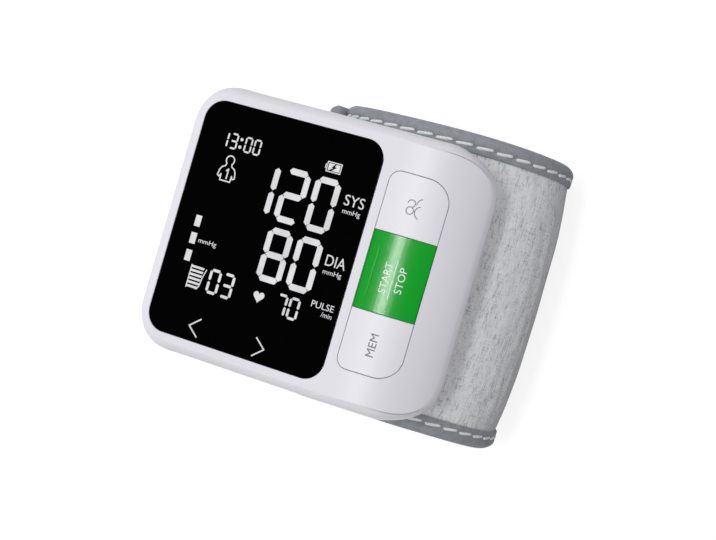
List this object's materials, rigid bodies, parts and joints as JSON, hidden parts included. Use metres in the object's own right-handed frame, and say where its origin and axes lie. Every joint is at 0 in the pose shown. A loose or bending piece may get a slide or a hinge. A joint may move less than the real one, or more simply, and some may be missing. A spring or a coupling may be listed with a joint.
{
  "type": "wrist blood pressure monitor",
  "caption": "Wrist blood pressure monitor with a flush black display, a strip of keys and a padded grey cuff closed by a hinged hook-tape tail.",
  "frame": {"origin": "centre of the bounding box, on the surface that the cuff stands on", "axes": "+Z out of the display, +X to the right of the display text, +Y to the top of the display text, along the wrist"},
  "size_m": [0.084, 0.0734, 0.0647],
  "materials": {
    "white_case": "fine satin",
    "black_window": "polished",
    "green_key": "fine satin",
    "display_glass": "polished",
    "milky_plastic": "milky",
    "black_plastic": "matt",
    "green_board": "satin",
    "steel": "plated",
    "grey_plastic": "matt",
    "cell_can": "film wrapped",
    "silicone": "smooth",
    "grey_cloth": "brushed loop cloth",
    "grey_tape": "woven",
    "hook_tape": "moulded hooks",
    "clear_plastic": "smooth",
    "bladder_rubber": "smooth"
  },
  "bodies": {
    "case_and_cuff": {"front_cover": "white_case", "rear_cover": "white_case", "display_window": "black_window", "lcd_panel": "display_glass", "backlight_panel": "milky_plastic", "lcd_frame": "black_plastic", "main_board": "green_board", "user_switch": "black_plastic", "start_stop_switch": "black_plastic", "memory_switch": "black_plastic", "case_screw_1": "steel", "case_screw_2": "steel", "case_screw_3": "steel", "case_screw_4": "steel", "pump_motor": "steel", "pump_head": "grey_plastic", "exhaust_valve": "grey_plastic", "battery_cell": "cell_can", "charging_socket": "steel", "air_manifold": "grey_plastic", "pressure_sensor": "black_plastic", "pump_tube": "silicone", "valve_tube": "silicone", "cuff_cloth": "grey_cloth", "curl_plate": "clear_plastic", "air_bladder": "bladder_rubber", "cuff_lining": "grey_cloth", "cuff_binding_upper": "grey_tape", "cuff_binding_lower": "grey_tape", "start_end_binding": "grey_tape"},
    "user_key": {"user_key": "white_case", "user_switch_button": "grey_plastic"},
    "start_stop_key": {"start_stop_key": "green_key", "start_stop_switch_button": "grey_plastic"},
    "memory_key": {"memory_key": "white_case", "memory_switch_button": "grey_plastic"},
    "cuff_tail": {"tail_cloth": "grey_cloth", "tail_lining": "grey_cloth", "tail_binding_upper": "grey_tape", "tail_binding_lower": "grey_tape", "tail_end_binding": "grey_tape", "hook_pad": "hook_tape"},
    "pump_rotor": {"pump_rotor": "steel"},
    "valve_plunger": {"valve_plunger": "steel"}
  },
  "joints": [
    {"name": "user_key_press", "type": "slide", "parent": "case_and_cuff", "child": "user_key", "axis": [0, 0, -1], "range_m": [0, 0.0005], "stiffness_N_per_m": 2000, "springref_m": -0.0003},
    {"name": "start_stop_key_press", "type": "slide", "parent": "case_and_cuff", "child": "start_stop_key", "axis": [0, 0, -1], "range_m": [0, 0.0005], "stiffness_N_per_m": 2000, "springref_m": -0.0003},
    {"name": "memory_key_press", "type": "slide", "parent": "case_and_cuff", "child": "memory_key", "axis": [0, 0, -1], "range_m": [0, 0.0005], "stiffness_N_per_m": 2000, "springref_m": -0.0003},
    {"name": "tail_fold", "type": "hinge", "parent": "case_and_cuff", "child": "cuff_tail", "pos_m": [-0.02211, 0, 0.01245], "axis": [0, -1, 0], "range_deg": [0, 95]},
    {"name": "pump_turn", "type": "hinge", "parent": "case_and_cuff", "child": "pump_rotor", "pos_m": [-0.03112, -0.00132, 0.0476], "axis": [0, 1, 0], "continuous": true},
    {"name": "valve_shut", "type": "slide", "parent": "case_and_cuff", "child": "valve_plunger", "axis": [0, -1, 0], "range_m": [0, 0.001], "stiffness_N_per_m": 300, "springref_m": -0.0005}
  ]
}
